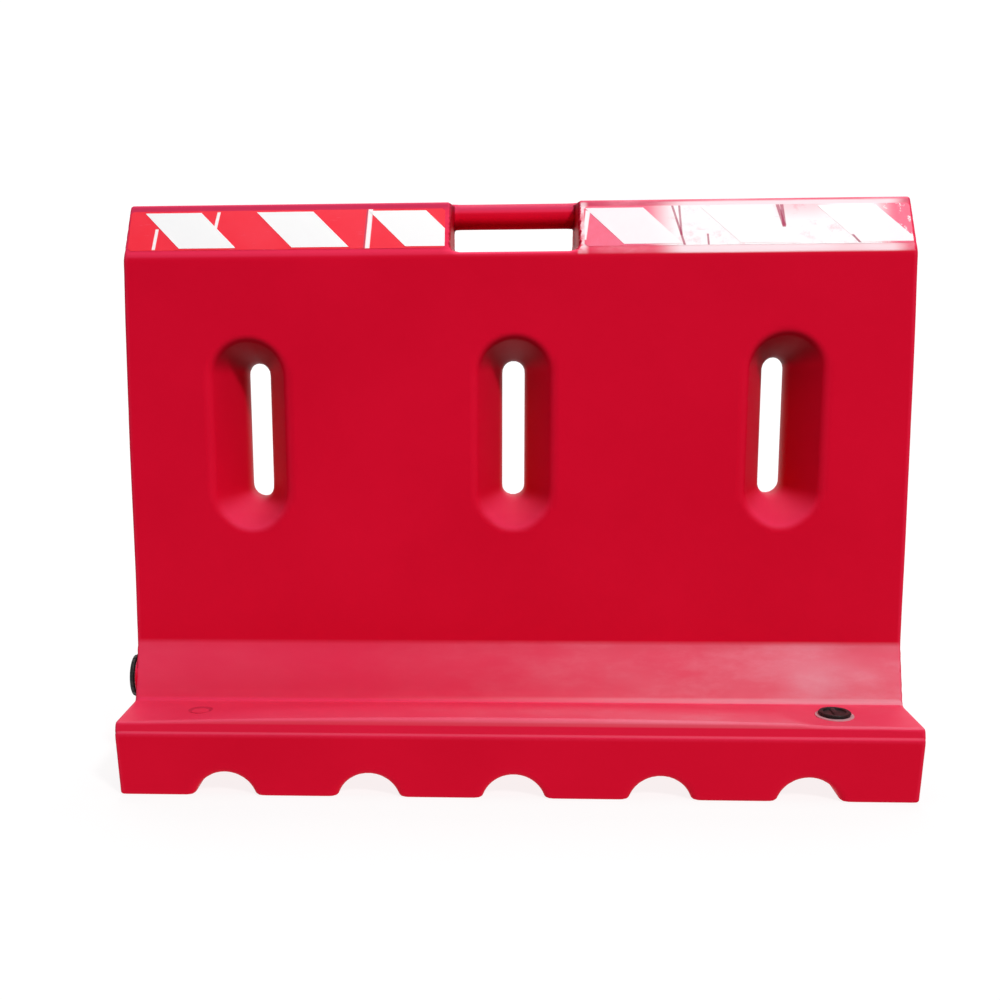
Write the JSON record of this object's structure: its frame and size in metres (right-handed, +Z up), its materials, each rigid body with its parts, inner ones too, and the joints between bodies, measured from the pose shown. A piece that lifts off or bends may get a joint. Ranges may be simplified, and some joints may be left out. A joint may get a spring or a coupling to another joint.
{
  "type": "water-filled road barrier",
  "caption": "Long hollow moulded road barrier with a wide plinth, upright panel with funnel slots, carrying bar in a striped roof, and screw plugs for filling and draining.",
  "frame": {"origin": "on the ground, under the middle of the moulded body's length and width", "axes": "+Z up; +X along the barrier towards its right end, seen from the side with the fill plug; -Y towards that side"},
  "size_m": [1.2095, 0.5, 0.88],
  "materials": {
    "moulded_body": "satin red rotationally moulded polyethylene, dusty on the ledges",
    "bush_plastic": "dull greyish pink plastic, dusty",
    "gasket_rubber": "matt black rubber",
    "plug_plastic": "satin black plastic",
    "tape_red": "glossy red reflective film",
    "tape_white": "glossy white reflective film"
  },
  "bodies": {
    "barrier": {"barrier_shell": "moulded_body", "fill_bush": "bush_plastic", "drain_bush": "bush_plastic", "sheet_front_left": "tape_red", "sheet_front_right": "tape_red", "sheet_back_left": "tape_red", "sheet_back_right": "tape_red", "stripe_front_left_1": "tape_white", "stripe_front_left_2": "tape_white", "stripe_front_left_3": "tape_white", "stripe_front_right_1": "tape_white", "stripe_front_right_2": "tape_white", "stripe_front_right_3": "tape_white", "stripe_back_left_1": "tape_white", "stripe_back_left_2": "tape_white", "stripe_back_left_3": "tape_white", "stripe_back_right_1": "tape_white", "stripe_back_right_2": "tape_white", "stripe_back_right_3": "tape_white"},
    "fill_seal": {"fill_gasket": "gasket_rubber"},
    "fill_screw": {"fill_plug": "plug_plastic"},
    "drain_seal": {"drain_gasket": "gasket_rubber"},
    "drain_screw": {"drain_plug": "plug_plastic"}
  },
  "joints": [
    {"name": "fill_plug_lift", "type": "slide", "parent": "barrier", "child": "fill_seal", "axis": [0, 0, 1], "range_m": [0, 0.03]},
    {"name": "fill_plug_turn", "type": "hinge", "parent": "fill_seal", "child": "fill_screw", "pos_m": [0.481, -0.1895, 0.116], "axis": [0, 0, 1], "range_deg": [0, 2700]},
    {"name": "drain_plug_pull", "type": "slide", "parent": "barrier", "child": "drain_seal", "axis": [-1, 0, 0], "range_m": [0, 0.028]},
    {"name": "drain_plug_turn", "type": "hinge", "parent": "drain_seal", "child": "drain_screw", "pos_m": [-0.6005, -0.09, 0.143], "axis": [-1, 0, 0], "range_deg": [0, 2520]}
  ],
  "couplings": [
    {"joint": "fill_plug_turn", "follows": "fill_plug_lift", "rad_per_m": 1570.8},
    {"joint": "drain_plug_turn", "follows": "drain_plug_pull", "rad_per_m": 1570.8}
  ]
}
